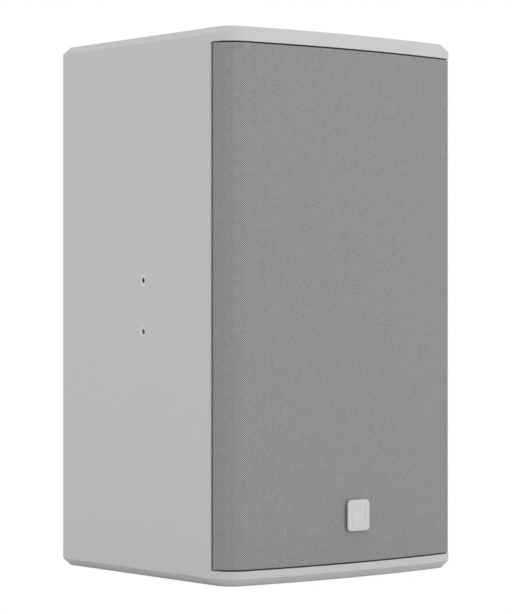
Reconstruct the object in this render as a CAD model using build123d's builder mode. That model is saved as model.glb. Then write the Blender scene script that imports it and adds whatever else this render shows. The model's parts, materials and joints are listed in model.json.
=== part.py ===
from build123d import *
import os
from math import cos, pi, radians, sin, sqrt, tan

os.makedirs("parts", exist_ok=True)

# Two-way installation loudspeaker, in millimetres.
# X runs to the listener's left-to-right, the front faces -Y and Z is up.
# The origin is on the floor, under the middle of the outside box.

# ---------------------------------------------------------------- cabinet sizes
HEIGHT = 528
DEPTH = 315                # over the badge
PLY = 14.5                 # boards of the cabinet
APEX_Y = -154.5            # foremost line of the bowed front
BACK_Y = DEPTH / 2
HALF_WIDTH = 167.5         # where the side faces would meet the apex plane
TAPER = radians(11.4)      # each side leans in towards the narrower back
BOW_R = 960
CORNER_R = 23
CHAMFER = 7.3
BACK_CHAMFER = 4.2
ARRIS = 1.2

BAFFLE_FRONT = -112.5
BAFFLE_T = 18
BAFFLE_BACK = BAFFLE_FRONT + BAFFLE_T
SIDE_FRONT = -115.2        # front end of the side panels, just behind the grille
INNER_BACK = BACK_Y - PLY
BRACE_Z = 288
BRACE_T = 12
BATTEN_W, BATTEN_D = 13, 20

# ---------------------------------------------------------------- grille and badge
GRILLE_INSET = 0.6
SHEET = 1.5
GRILLE_GAP = 1.5
GRILLE_EDGE_Y = -118.6
GRILLE_Z0 = PLY + GRILLE_GAP
GRILLE_H = HEIGHT - 2 * GRILLE_Z0
LIP = 9
FOAM_T = 3
BADGE = 30.3
BADGE_Z = 61.2
BADGE_R = 4.5
BADGE_FACE = BACK_Y - DEPTH
BADGE_T = 1.2
BADGE_BOSS_R = 9           # holds the plate off the grille, so that a shadow shows round it
BADGE_GROOVE = (19, 3, 0.8, 0.3)   # side, corner radius, width and depth of the line on its face
STEM_R = 3.0
RUNNING = 0.05             # radial clearance of every turning or sliding fit
PEG_R = 3.5
PEG_BASE_R, PEG_BASE_D = 8, 16
PEG_SPOTS = [(side * 130, z) for side in (-1, 1) for z in (75, 290, 495)]
SOCKET_R, SOCKET_D = 6.0, 16
SOCKET_RIM = 1.5

# ---------------------------------------------------------------- drivers and ports
WOOFER_Z = 162
WOOFER_CUTOUT_R = 116
WOOFER_SCREW_R = 121.5
HF_Z = 400
HF_CUTOUT_R = 91
HF_FLANGE = 196
HF_SCREW = 88
PORT_SPOTS = [(-96, 41), (96, 41)]
PORT_BORE_R, PORT_TUBE_R, PORT_FLANGE_R = 18.5, 20.5, 25
PORT_LENGTH, PORT_FLANGE_T = 110, 3

# ---------------------------------------------------------------- fixings and inputs
INSERT_Y = 4.0
INSERT_ZS = (239, 289)
INSERT_FLANGE_R = 5.75
INSERT_BARREL_R = 4.5
INSERT_BORE_R = 2.5
INSERT_LENGTH = 13
INSERT_PROUD = 0.3
INSERT_FLANGE_T = 1
INSERT_MOUTH = 0.6         # chamfer round the bore
REAR_INSERT_Z = 400
REAR_INSERT_DX, REAR_INSERT_DZ = 70, 50
CUP_Z = 150
CUP_FLANGE = (132, 102)
CUP_FLANGE_T = 3
CUP_RECESS = (110, 80)
CUP_DEPTH = 40
CUP_WALL = 2.5
CUP_FLOOR = BACK_Y - CUP_DEPTH
CUP_SCREWS = (121, 91)
CUP_SCREW_R, CUP_HEAD_R, CUP_HEAD_H = 1.5, 3, 1.6
PLUG_X = -26
KNOB_X = 28
TAPS, FIRST_TAP = 6, 15    # selector positions, and the first one's angle in degrees
PIN_PITCH = 7.62
PINS = 4


# ---------------------------------------------------------------- shared geometry
def upright(y, x=0, z=0):
    """Plane that faces the front: its own x is X, its own y is Z."""
    return Plane(origin=(x, y, z), x_dir=(1, 0, 0), z_dir=(0, -1, 0))


def side_point(y, inset):
    """Point at depth y on the left side face moved in by inset."""
    return (-HALF_WIDTH + (y - APEX_Y) * tan(TAPER) + inset / cos(TAPER), y)


def flipped(point):
    return (-point[0], point[1])


def plan_outline(z, inset=0.0, back_inset=0.0):
    """Plan of the cabinet at height z: tapered sides, round corners and a bowed front."""
    bow_centre = Vector(0, APEX_Y + BOW_R)
    along = Vector(sin(TAPER), cos(TAPER))
    outwards = Vector(-cos(TAPER), sin(TAPER))
    start = Vector(*side_point(APEX_Y, CORNER_R)) - bow_centre
    reach = start.dot(along)
    travel = -reach - sqrt(reach**2 - start.length**2 + (BOW_R - CORNER_R) ** 2)
    corner = bow_centre + start + along * travel
    forwards = (corner - bow_centre).normalized()
    radius = CORNER_R - inset
    side_end = tuple(corner + outwards * radius)[:2]
    middle = tuple(corner + (outwards + forwards).normalized() * radius)[:2]
    bow_end = tuple(corner + forwards * radius)[:2]
    back = side_point(BACK_Y - back_inset, inset)
    with BuildSketch(Plane.XY.offset(z)) as plan:
        with BuildLine():
            Line(flipped(back), back)
            Line(back, side_end)
            ThreePointArc(side_end, middle, bow_end)
            ThreePointArc(bow_end, (0, APEX_Y + inset), flipped(bow_end))
            ThreePointArc(flipped(bow_end), flipped(middle), flipped(side_end))
            Line(flipped(side_end), flipped(back))
        make_face()
    return plan.sketch


def slab_outline(z, front_y, back_y, inset=PLY):
    """Plan of a panel that reaches from side to side between two depths."""
    front, back = side_point(front_y, inset), side_point(back_y, inset)
    return polygon(Plane.XY.offset(z), front, back, flipped(back), flipped(front))


def polygon(plane, *points):
    """Straight-edged closed face on a plane."""
    with BuildSketch(plane) as face:
        with BuildLine():
            Polyline(*points, close=True)
        make_face()
    return face.sketch


def turned(z, *points):
    """Half section of a turned piece: points are (radius, depth behind the baffle's face)."""
    return polygon(Plane((0, BAFFLE_FRONT, z)), *points)


def dome_arc(apex, rim_r, rim):
    """Apex, middle and rim of an arc centred on the axis; apex and rim are depths."""
    radius = (rim_r**2 + (rim - apex) ** 2) / (2 * abs(rim - apex))
    middle_drop = radius - sqrt(radius**2 - rim_r**2 / 4)
    middle = apex + (middle_drop if rim > apex else -middle_drop)
    return [(0, apex), (rim_r / 2, middle), (rim_r, rim)]


def turning_axis(z):
    return Axis((0, BAFFLE_FRONT, z), (0, 1, 0))


def discs(plane, spots, radius):
    """Equal circles at given spots of a plane."""
    with BuildSketch(plane) as circles:
        with Locations(*spots):
            Circle(radius)
    return circles.sketch


def finish(builder, name):
    builder.part.label = name
    export_step(builder.part, f"parts/{name}.step")


def socket_screws(plane, spots, head_r, head_h, shank_r, length):
    """Group of cap screws whose heads stand on the plane."""
    with BuildPart() as screws:
        extrude(discs(plane, spots, head_r), amount=head_h)
        chamfer(screws.edges().group_by(Axis((0, 0, 0), plane.z_dir))[-1], head_h * 0.2)
        extrude(discs(plane, spots, shank_r), amount=-length)
        with BuildSketch(plane.offset(head_h)) as sockets:
            with Locations(*spots):
                RegularPolygon(head_r * 0.5, 6)
        extrude(sockets.sketch, amount=-head_h * 0.6, mode=Mode.SUBTRACT)
    return screws


WOOFER_RING = [(WOOFER_SCREW_R * cos(radians(22.5 + 45 * i)),
                WOOFER_SCREW_R * sin(radians(22.5 + 45 * i))) for i in range(8)]
HF_CORNERS = [(x, z) for x in (-HF_SCREW, HF_SCREW) for z in (-HF_SCREW, HF_SCREW)]
CUP_CORNERS = [(x * CUP_SCREWS[0] / 2, z * CUP_SCREWS[1] / 2) for x in (-1, 1) for z in (-1, 1)]
REAR_SPOTS = [(x * REAR_INSERT_DX / 2, REAR_INSERT_Z + z * REAR_INSERT_DZ / 2)
              for x in (-1, 1) for z in (-1, 1)]
WOOFER_SCREW_SHANK_R = 2.4
HF_SCREW_SHANK_R = 2.0

# ---------------------------------------------------------------- cabinet panels
for name, outer_z, inner_z in (("top_panel", HEIGHT, HEIGHT - PLY), ("bottom_panel", 0, PLY)):
    up = 1 if outer_z > inner_z else -1
    shoulder_z = outer_z - up * CHAMFER
    with BuildPart() as panel:
        extrude(plan_outline(inner_z), amount=up * (PLY - CHAMFER))
        loft([plan_outline(shoulder_z), plan_outline(outer_z, CHAMFER, BACK_CHAMFER)], ruled=True)
    finish(panel, name)

SIDE_H = HEIGHT - 2 * PLY
side_plan = [side_point(SIDE_FRONT, 0), side_point(BACK_Y, 0), side_point(BACK_Y, PLY),
             side_point(SIDE_FRONT + PLY * sin(TAPER), PLY)]
insert_x, insert_y = side_point(INSERT_Y, 0)
# Lies in the side face: its own x is Z, and INSERT_ZS are places along it.
side_face = Plane((insert_x, insert_y, 0), x_dir=(0, 0, 1), z_dir=(-cos(TAPER), sin(TAPER), 0))
SIDE_SPOTS = [(insert_z, 0) for insert_z in INSERT_ZS]
with BuildPart() as left_side_panel:
    extrude(polygon(Plane.XY.offset(PLY), *side_plan), amount=SIDE_H)
    chamfer(left_side_panel.edges().filter_by(Axis.Z).sort_by(Axis.X)[0], ARRIS)
    extrude(discs(side_face, SIDE_SPOTS, INSERT_FLANGE_R), amount=-INSERT_FLANGE_T,
            mode=Mode.SUBTRACT)
    extrude(discs(side_face, SIDE_SPOTS, INSERT_BARREL_R), amount=-INSERT_LENGTH,
            mode=Mode.SUBTRACT)
finish(left_side_panel, "left_side_panel")

with BuildPart() as right_side_panel:
    add(mirror(left_side_panel.part, about=Plane.YZ))
finish(right_side_panel, "right_side_panel")

CUP_SCREW_END = PLY - 2
with BuildPart() as back_panel:
    extrude(slab_outline(PLY, INNER_BACK, BACK_Y), amount=SIDE_H)
    with BuildSketch(upright(BACK_Y, z=CUP_Z)):
        RectangleRounded(*CUP_FLANGE, 6)
    extrude(amount=CUP_FLANGE_T, mode=Mode.SUBTRACT)
    with BuildSketch(upright(BACK_Y, z=CUP_Z)):
        RectangleRounded(CUP_RECESS[0] + 2 * CUP_WALL + 1, CUP_RECESS[1] + 2 * CUP_WALL + 1, 5)
    extrude(amount=PLY, mode=Mode.SUBTRACT)
    extrude(discs(upright(BACK_Y, z=CUP_Z), CUP_CORNERS, CUP_SCREW_R), amount=CUP_SCREW_END,
            mode=Mode.SUBTRACT)
    extrude(discs(upright(BACK_Y), REAR_SPOTS, INSERT_FLANGE_R), amount=INSERT_FLANGE_T,
            mode=Mode.SUBTRACT)
    extrude(discs(upright(BACK_Y), REAR_SPOTS, INSERT_BARREL_R), amount=INSERT_LENGTH,
            mode=Mode.SUBTRACT)
finish(back_panel, "back_panel")

# The eight M6 inserts: two in each side, square to its face, and four in the back.
with BuildPart() as threaded_inserts:
    extrude(discs(side_face.offset(-INSERT_FLANGE_T), SIDE_SPOTS, INSERT_FLANGE_R),
            amount=INSERT_FLANGE_T + INSERT_PROUD)
    extrude(discs(side_face, SIDE_SPOTS, INSERT_BARREL_R), amount=-INSERT_LENGTH)
    extrude(discs(side_face.offset(INSERT_PROUD), SIDE_SPOTS, INSERT_BORE_R),
            amount=-INSERT_LENGTH, mode=Mode.SUBTRACT)
    mirror(about=Plane.YZ)
    extrude(discs(upright(BACK_Y), REAR_SPOTS, INSERT_FLANGE_R), amount=INSERT_FLANGE_T)
    extrude(discs(upright(BACK_Y), REAR_SPOTS, INSERT_BARREL_R), amount=INSERT_LENGTH)
    extrude(discs(upright(BACK_Y), REAR_SPOTS, INSERT_BORE_R), amount=INSERT_LENGTH,
            mode=Mode.SUBTRACT)
    mouths = threaded_inserts.edges().filter_by(GeomType.CIRCLE).filter_by(
        lambda e: abs(e.radius - INSERT_BORE_R) < 0.01
        and max(abs(e.arc_center.X) - abs(insert_x), e.arc_center.Y - BACK_Y) > -1)
    chamfer(mouths, INSERT_MOUTH)
finish(threaded_inserts, "threaded_inserts")

with BuildPart() as front_baffle:
    extrude(slab_outline(PLY, BAFFLE_FRONT, BAFFLE_BACK), amount=SIDE_H)
    for centre_z, radius in ((WOOFER_Z, WOOFER_CUTOUT_R), (HF_Z, HF_CUTOUT_R)):
        extrude(discs(upright(BAFFLE_FRONT), [(0, centre_z)], radius), amount=-BAFFLE_T,
                mode=Mode.SUBTRACT)
    extrude(discs(upright(BAFFLE_FRONT), PORT_SPOTS, PORT_TUBE_R), amount=-BAFFLE_T,
            mode=Mode.SUBTRACT)
    extrude(discs(upright(BAFFLE_FRONT), PEG_SPOTS, SOCKET_R), amount=-SOCKET_D,
            mode=Mode.SUBTRACT)
    extrude(discs(upright(BAFFLE_FRONT, z=WOOFER_Z), WOOFER_RING, WOOFER_SCREW_SHANK_R),
            amount=-BAFFLE_T, mode=Mode.SUBTRACT)
    extrude(discs(upright(BAFFLE_FRONT, z=HF_Z), HF_CORNERS, HF_SCREW_SHANK_R),
            amount=-BAFFLE_T, mode=Mode.SUBTRACT)
finish(front_baffle, "front_baffle")

WINDOW_Y0, WINDOW_Y1 = BAFFLE_BACK + 42, INNER_BACK - 36
with BuildPart() as cabinet_brace:
    extrude(slab_outline(BRACE_Z, BAFFLE_BACK, INNER_BACK), amount=BRACE_T)
    extrude(slab_outline(BRACE_Z, WINDOW_Y0, WINDOW_Y1, inset=PLY + 32), amount=BRACE_T,
            mode=Mode.SUBTRACT)
    window = cabinet_brace.edges().filter_by(Axis.Z).filter_by(
        lambda e: WINDOW_Y0 - 1 < e.center().Y < WINDOW_Y1 + 1)
    fillet(window, 16)
finish(cabinet_brace, "cabinet_brace")

with BuildPart() as glue_battens:
    for low_z, high_z in ((PLY, BRACE_Z), (BRACE_Z + BRACE_T, HEIGHT - PLY)):
        for front_y, back_y in ((BAFFLE_BACK, BAFFLE_BACK + BATTEN_D),
                                (INNER_BACK - BATTEN_D, INNER_BACK)):
            corners = [side_point(front_y, PLY), side_point(back_y, PLY),
                       side_point(back_y, PLY + BATTEN_W), side_point(front_y, PLY + BATTEN_W)]
            extrude(polygon(Plane.XY.offset(low_z), *corners), amount=high_z - low_z)
    mirror(about=Plane.YZ)
finish(glue_battens, "glue_battens")

PAD_T = 22
PAD_GAP = 0.4
PAD_CLEAR = 3
PAD_Y0, PAD_Y1 = BAFFLE_BACK + BATTEN_D + 4, INNER_BACK - BATTEN_D - 4
PAD_LOW_Z = 70             # leaves room for the ports below
with BuildPart() as damping_pads:
    for low_z, high_z in ((PAD_LOW_Z, BRACE_Z - PAD_CLEAR),
                          (BRACE_Z + BRACE_T + PAD_CLEAR, HEIGHT - PLY - PAD_CLEAR)):
        corners = [side_point(PAD_Y0, PLY + PAD_GAP), side_point(PAD_Y1, PLY + PAD_GAP),
                   side_point(PAD_Y1, PLY + PAD_T), side_point(PAD_Y0, PLY + PAD_T)]
        extrude(polygon(Plane.XY.offset(low_z), *corners), amount=high_z - low_z)
    fillet(damping_pads.edges().filter_by(Axis.Z).group_by(Axis.X)[-1], 6)
    mirror(about=Plane.YZ)
finish(damping_pads, "damping_pads")

# ---------------------------------------------------------------- grille
with BuildPart() as grille_shell:
    extrude(plan_outline(GRILLE_Z0, GRILLE_INSET), amount=GRILLE_H)
    extrude(plan_outline(GRILLE_Z0 + SHEET, GRILLE_INSET + SHEET), amount=GRILLE_H - 2 * SHEET,
            mode=Mode.SUBTRACT)
    extrude(plan_outline(GRILLE_Z0, GRILLE_INSET + SHEET + LIP), amount=GRILLE_H,
            mode=Mode.SUBTRACT)
    split(bisect_by=Plane((0, GRILLE_EDGE_Y, 0), z_dir=(0, -1, 0)), keep=Keep.TOP)
    lip_outer = side_point(GRILLE_EDGE_Y, GRILLE_INSET + SHEET / 2)[0]
    with BuildSketch(Plane.XY.offset(GRILLE_Z0)):
        with Locations((lip_outer + LIP / 2, GRILLE_EDGE_Y - SHEET / 2),
                       (-lip_outer - LIP / 2, GRILLE_EDGE_Y - SHEET / 2)):
            Rectangle(LIP, SHEET)
    extrude(amount=GRILLE_H)
    extrude(discs(upright(APEX_Y), [(0, BADGE_Z)], STEM_R + RUNNING), amount=-6,
            mode=Mode.SUBTRACT)
finish(grille_shell, "grille_shell")

FOAM_OUTER = GRILLE_INSET + SHEET
FOAM_CLEAR = 0.5
FOAM_Z0 = GRILLE_Z0 + SHEET + FOAM_CLEAR
CLIP_R = 8
with BuildPart() as grille_foam:
    extrude(plan_outline(FOAM_Z0, FOAM_OUTER), amount=HEIGHT - 2 * FOAM_Z0)
    extrude(plan_outline(GRILLE_Z0, FOAM_OUTER + FOAM_T), amount=GRILLE_H, mode=Mode.SUBTRACT)
    split(bisect_by=Plane((0, GRILLE_EDGE_Y - SHEET - 2, 0), z_dir=(0, -1, 0)), keep=Keep.TOP)
    extrude(discs(upright(APEX_Y), PEG_SPOTS, PEG_BASE_R + FOAM_CLEAR), amount=-60,
            mode=Mode.SUBTRACT)
    extrude(discs(upright(APEX_Y), [(0, BADGE_Z)], CLIP_R + 3), amount=-60, mode=Mode.SUBTRACT)
finish(grille_foam, "grille_foam")

PEG_BASE_BACK = APEX_Y + PEG_BASE_D
PEG_TIP = BAFFLE_FRONT + 11
with BuildPart() as grille_pegs:
    extrude(discs(upright(APEX_Y), PEG_SPOTS, PEG_BASE_R), amount=-PEG_BASE_D)
    extrude(plan_outline(0, FOAM_OUTER), amount=HEIGHT, mode=Mode.INTERSECT)
    extrude(discs(upright(PEG_BASE_BACK), PEG_SPOTS, PEG_R), amount=-(PEG_TIP - PEG_BASE_BACK))
    chamfer(grille_pegs.edges().group_by(Axis.Y)[-1], 1)
finish(grille_pegs, "grille_pegs")

with BuildPart() as grille_sockets:
    extrude(discs(upright(BAFFLE_FRONT), PEG_SPOTS, PEG_BASE_R), amount=SOCKET_RIM)
    extrude(discs(upright(BAFFLE_FRONT), PEG_SPOTS, SOCKET_R), amount=-SOCKET_D)
    extrude(discs(upright(BAFFLE_FRONT - SOCKET_RIM), PEG_SPOTS, PEG_R + RUNNING), amount=1 - SOCKET_D,
            mode=Mode.SUBTRACT)
finish(grille_sockets, "grille_sockets")

# ---------------------------------------------------------------- badge, turned for a cabinet on its side
BADGE_BACK = BADGE_FACE + BADGE_T
BOSS_BACK = APEX_Y + GRILLE_INSET - 0.2
CLIP_Y = APEX_Y + FOAM_OUTER + 0.3
STEM_END = CLIP_Y + 4
groove_side, groove_r, groove_w, groove_d = BADGE_GROOVE
with BuildPart() as badge:
    with BuildSketch(upright(BADGE_BACK, z=BADGE_Z)):
        RectangleRounded(BADGE, BADGE, BADGE_R)
    extrude(amount=BADGE_T)
    fillet(badge.faces().sort_by(Axis.Y)[0].edges(), 0.6)
    with BuildSketch(upright(BADGE_FACE, z=BADGE_Z)):
        RectangleRounded(groove_side, groove_side, groove_r)
        inner_side = groove_side - 2 * groove_w
        RectangleRounded(inner_side, inner_side, groove_r - groove_w, mode=Mode.SUBTRACT)
    extrude(amount=-groove_d, mode=Mode.SUBTRACT)
    extrude(discs(upright(BADGE_BACK), [(0, BADGE_Z)], BADGE_BOSS_R), amount=BADGE_BACK - BOSS_BACK)
    extrude(discs(upright(BADGE_BACK), [(0, BADGE_Z)], STEM_R), amount=BADGE_BACK - STEM_END)
finish(badge, "badge")

with BuildPart() as badge_clip:
    extrude(discs(upright(CLIP_Y), [(0, BADGE_Z)], CLIP_R), amount=-1.6)
    extrude(discs(upright(CLIP_Y), [(0, BADGE_Z)], CLIP_R - 3), amount=-3.2)
    extrude(discs(upright(CLIP_Y), [(0, BADGE_Z)], STEM_R), amount=CLIP_Y - STEM_END,
            mode=Mode.SUBTRACT)
finish(badge_clip, "badge_clip")

# ---------------------------------------------------------------- reflex ports
with BuildPart() as port_tubes:
    extrude(discs(upright(BAFFLE_FRONT), PORT_SPOTS, PORT_FLANGE_R), amount=PORT_FLANGE_T)
    fillet(port_tubes.edges().group_by(Axis.Y)[0], PORT_FLANGE_T / 2)
    extrude(discs(upright(BAFFLE_FRONT), PORT_SPOTS, PORT_TUBE_R), amount=-PORT_LENGTH)
    extrude(discs(upright(BAFFLE_FRONT - PORT_FLANGE_T), PORT_SPOTS, PORT_BORE_R),
            amount=-PORT_LENGTH - PORT_FLANGE_T, mode=Mode.SUBTRACT)
    mouths = port_tubes.edges().filter_by(GeomType.CIRCLE).filter_by(
        lambda e: abs(e.radius - PORT_BORE_R) < 0.01).group_by(Axis.Y)[0]
    chamfer(mouths, 3)
finish(port_tubes, "port_tubes")

# ---------------------------------------------------------------- woofer, all depths from the baffle's face
COIL_R = 32.0
GAP_OUTER_R = 33.6
POLE_R = 31.0
BASKET_WALL = [(127, -6), (127, 0), (115.4, 0), (113.5, 14), (84, 64), (84, 72), (52, 72),
               (52, 69), (80.8, 69), (80.8, 61), (72, 61), (72, 58), (83.9, 58), (110.4, 13.2),
               (110.4, 0), (102, 0), (102, -3), (112, -3), (112, -6)]
with BuildPart() as woofer_basket:
    revolve(turned(WOOFER_Z, *BASKET_WALL), axis=turning_axis(WOOFER_Z))
    with BuildSketch(upright(BAFFLE_FRONT + 20, z=WOOFER_Z)):
        with PolarLocations(0, 6):
            with BuildLine():
                Polyline(*[(r * cos(radians(a)), r * sin(radians(a)))
                           for r, a in ((70, -19), (118, -20), (118, 20), (70, 19))], close=True)
            make_face()
    extrude(amount=-37, mode=Mode.SUBTRACT)
    extrude(discs(upright(BAFFLE_FRONT - 6, z=WOOFER_Z), WOOFER_RING, WOOFER_SCREW_SHANK_R),
            amount=-6, mode=Mode.SUBTRACT)
finish(woofer_basket, "woofer_basket")

WOOFER_TURNED = {
    "woofer_gasket": [(104.2, -6.2), (111.7, -6.2), (111.7, -4.2), (104.2, -4.2)],
    "woofer_top_plate": [(GAP_OUTER_R, 72), (70, 72), (70, 80), (GAP_OUTER_R, 80)],
    "woofer_magnet": [(40, 80), (78, 80), (78, 100), (40, 100)],
    "woofer_pole_piece": [(8, 72), (POLE_R, 72), (POLE_R, 100), (70, 100), (70, 108), (8, 108)],
    "coil_former": [(COIL_R - 0.5, 38), (COIL_R - 0.1, 38), (COIL_R - 0.1, 86),
                    (COIL_R - 0.5, 86)],
    "voice_coil": [(COIL_R - 0.1, 68), (COIL_R + 1.0, 68), (COIL_R + 1.0, 84),
                   (COIL_R - 0.1, 84)],
    "woofer_cone": [(90, -3.6), (90, -2.4), (34.5, 41), (COIL_R - 0.1, 41),
                    (COIL_R - 0.1, 39.6), (34, 39.6)],
}
for name, half_section in WOOFER_TURNED.items():
    with BuildPart() as ring:
        revolve(turned(WOOFER_Z, *half_section), axis=turning_axis(WOOFER_Z))
    finish(ring, name)

ROLL_R, ROLL_MID, ROLL_DEPTH = 7.0, 96.8, -4.6
SKIN = 1.0
with BuildPart() as woofer_surround:
    with BuildSketch(Plane((0, BAFFLE_FRONT, WOOFER_Z))):
        with BuildLine():
            Line((85, 0.05), (85, -1.0))
            Line((85, -1.0), (ROLL_MID - ROLL_R, ROLL_DEPTH))
            ThreePointArc((ROLL_MID - ROLL_R, ROLL_DEPTH), (ROLL_MID, ROLL_DEPTH - ROLL_R),
                          (ROLL_MID + ROLL_R, ROLL_DEPTH))
            Polyline((ROLL_MID + ROLL_R, ROLL_DEPTH), (ROLL_MID + ROLL_R, -4.2), (111.5, -4.2),
                     (111.5, -3), (ROLL_MID + ROLL_R - SKIN, -3),
                     (ROLL_MID + ROLL_R - SKIN, ROLL_DEPTH))
            ThreePointArc((ROLL_MID + ROLL_R - SKIN, ROLL_DEPTH),
                          (ROLL_MID, ROLL_DEPTH - ROLL_R + SKIN),
                          (ROLL_MID - ROLL_R + SKIN, ROLL_DEPTH))
            Line((ROLL_MID - ROLL_R + SKIN, ROLL_DEPTH), (85, 0.05))
        make_face()
    revolve(axis=turning_axis(WOOFER_Z))
finish(woofer_surround, "woofer_surround")

SPIDER_T = 0.8
SPIDER_DEPTH = 57.2
WAVES, WAVE_START, WAVE_LENGTH, WAVE_RISE = 8, 36, 4.5, 1.8
with BuildPart() as woofer_spider:
    with BuildSketch(Plane((0, BAFFLE_FRONT, WOOFER_Z))):
        with BuildLine():
            for face_depth in (SPIDER_DEPTH, SPIDER_DEPTH + SPIDER_T):
                Line((COIL_R + 0.15, face_depth), (WAVE_START, face_depth))
                for wave in range(WAVES):
                    start_r = WAVE_START + wave * WAVE_LENGTH
                    rise = WAVE_RISE if wave % 2 else -WAVE_RISE
                    ThreePointArc((start_r, face_depth),
                                  (start_r + WAVE_LENGTH / 2, face_depth + rise),
                                  (start_r + WAVE_LENGTH, face_depth))
                Line((WAVE_START + WAVES * WAVE_LENGTH, face_depth), (80.5, face_depth))
            for edge_r in (COIL_R + 0.15, 80.5):
                Line((edge_r, SPIDER_DEPTH), (edge_r, SPIDER_DEPTH + SPIDER_T))
        make_face()
    revolve(axis=turning_axis(WOOFER_Z))
finish(woofer_spider, "woofer_spider")

CAP_RIM_R = 36.5
cap_front, cap_back = dome_arc(25.1, CAP_RIM_R, 36.6), dome_arc(26, CAP_RIM_R, 37.5)
with BuildPart() as woofer_dust_cap:
    with BuildSketch(Plane((0, BAFFLE_FRONT, WOOFER_Z))):
        with BuildLine():
            ThreePointArc(*cap_front)
            Line(cap_front[2], cap_back[2])
            ThreePointArc(*cap_back)
            Line(cap_back[0], cap_front[0])
        make_face()
    revolve(axis=turning_axis(WOOFER_Z))
finish(woofer_dust_cap, "woofer_dust_cap")

woofer_screws = socket_screws(upright(BAFFLE_FRONT - 6, z=WOOFER_Z), WOOFER_RING, 4.25, 3,
                              WOOFER_SCREW_SHANK_R, 22)
finish(woofer_screws, "woofer_screws")

TERMINAL_Z = WOOFER_Z + 71
with BuildPart() as woofer_terminal_block:
    with BuildSketch(upright(BAFFLE_FRONT + 72, z=TERMINAL_Z + 6)):
        Rectangle(20, 12)
    extrude(amount=-7.5)
    fillet(woofer_terminal_block.edges().filter_by(Axis.Y), 1.5)
finish(woofer_terminal_block, "woofer_terminal_block")

# ---------------------------------------------------------------- waveguide and compression driver
THROAT_R, THROAT_DEPTH = 12.7, 50
SPIGOT_R = 17.5
MOUTH_R = 85
HORN_WALL = 3
flare = ThreePointArc((MOUTH_R, -5), (32, 23), (THROAT_R, THROAT_DEPTH))


def flare_point(radius, depth):
    """Point of the horn's outside, one wall behind a point of its flare."""
    centre = flare.arc_center
    outwards = (Vector(radius, depth) - centre).normalized()
    return tuple(centre + outwards * (flare.radius - HORN_WALL))[:2]


horn_outside = [flare_point(MOUTH_R, -5), flare_point(32, 23), flare_point(THROAT_R + 8, 37)]
BOSS_R, BOSS_END = 24, 62
with BuildPart() as waveguide:
    with BuildSketch(upright(BAFFLE_FRONT, z=HF_Z)):
        RectangleRounded(HF_FLANGE, HF_FLANGE, 10)
    extrude(amount=5)
    fillet(waveguide.faces().sort_by(Axis.Y)[0].edges(), 1.5)
    with BuildSketch(Plane((0, BAFFLE_FRONT, HF_Z))):
        with BuildLine():
            Line((0, -2), horn_outside[0])
            ThreePointArc(*horn_outside)
            Polyline(horn_outside[2], (BOSS_R, horn_outside[2][1] + 4), (BOSS_R, BOSS_END),
                     (0, BOSS_END), (0, -2))
        make_face()
    revolve(axis=turning_axis(HF_Z))
    with BuildSketch(Plane((0, BAFFLE_FRONT, HF_Z))):
        with BuildLine():
            Line((0, -5), (MOUTH_R, -5))
            ThreePointArc((MOUTH_R, -5), (32, 23), (THROAT_R, THROAT_DEPTH))
            Polyline((THROAT_R, THROAT_DEPTH), (SPIGOT_R, THROAT_DEPTH), (SPIGOT_R, BOSS_END),
                     (0, BOSS_END), (0, -5))
        make_face()
    revolve(axis=turning_axis(HF_Z), mode=Mode.SUBTRACT)
    extrude(discs(upright(BAFFLE_FRONT - 5, z=HF_Z), HF_CORNERS, HF_SCREW_SHANK_R), amount=-5,
            mode=Mode.SUBTRACT)
finish(waveguide, "waveguide")

waveguide_screws = socket_screws(upright(BAFFLE_FRONT - 5, z=HF_Z), HF_CORNERS, 3.75, 2.6,
                                 HF_SCREW_SHANK_R, 20)
finish(waveguide_screws, "waveguide_screws")

HF_COIL_R = 22.25
HF_DEPTH = 112
DOME = dome_arc(99.5, HF_COIL_R, 92)
DOME_INSIDE = dome_arc(99.1, HF_COIL_R - 0.3, 91.8)
HF_TURNED = {
    "hf_pole_piece": [(THROAT_R, 50), (SPIGOT_R, 50), (SPIGOT_R, 62), (42, 62), (42, 68),
                      (21.5, 68), (21.5, 90), (18.5, 90), (THROAT_R, 72)],
    "hf_magnet": [(26, 68), (45, 68), (45, 84), (26, 84)],
    "hf_top_plate": [(23.2, 84), (42, 84), (42, 90), (23.2, 90)],
    "hf_clamp_ring": [(31, 90), (40, 90), (40, 93), (31, 93)],
    "hf_suspension": [(22.5, 91), (24.5, 91), (26.5, 92.2), (28.5, 91), (30.8, 91),
                      (30.8, 91.5), (28.6, 91.5), (26.5, 92.7), (24.4, 91.5), (22.5, 91.5)],
    "hf_voice_coil": [(HF_COIL_R, 82), (22.7, 82), (22.7, 89), (HF_COIL_R, 89)],
    "hf_rear_cover": [(40.2, 90), (42, 90), (42, 110), (40, HF_DEPTH), (0, HF_DEPTH),
                      (0, 110),
                      (39.2, 110), (40.2, 109)],
}
for name, half_section in HF_TURNED.items():
    with BuildPart() as ring:
        revolve(turned(HF_Z, *half_section), axis=turning_axis(HF_Z))
    finish(ring, name)

with BuildPart() as hf_diaphragm:
    with BuildSketch(Plane((0, BAFFLE_FRONT, HF_Z))):
        with BuildLine():
            ThreePointArc(*DOME)
            Polyline(DOME[2], (HF_COIL_R, 80), (HF_COIL_R - 0.3, 80), DOME_INSIDE[2])
            ThreePointArc(*DOME_INSIDE)
            Line(DOME_INSIDE[0], DOME[0])
        make_face()
    revolve(axis=turning_axis(HF_Z))
finish(hf_diaphragm, "hf_diaphragm")

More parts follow.
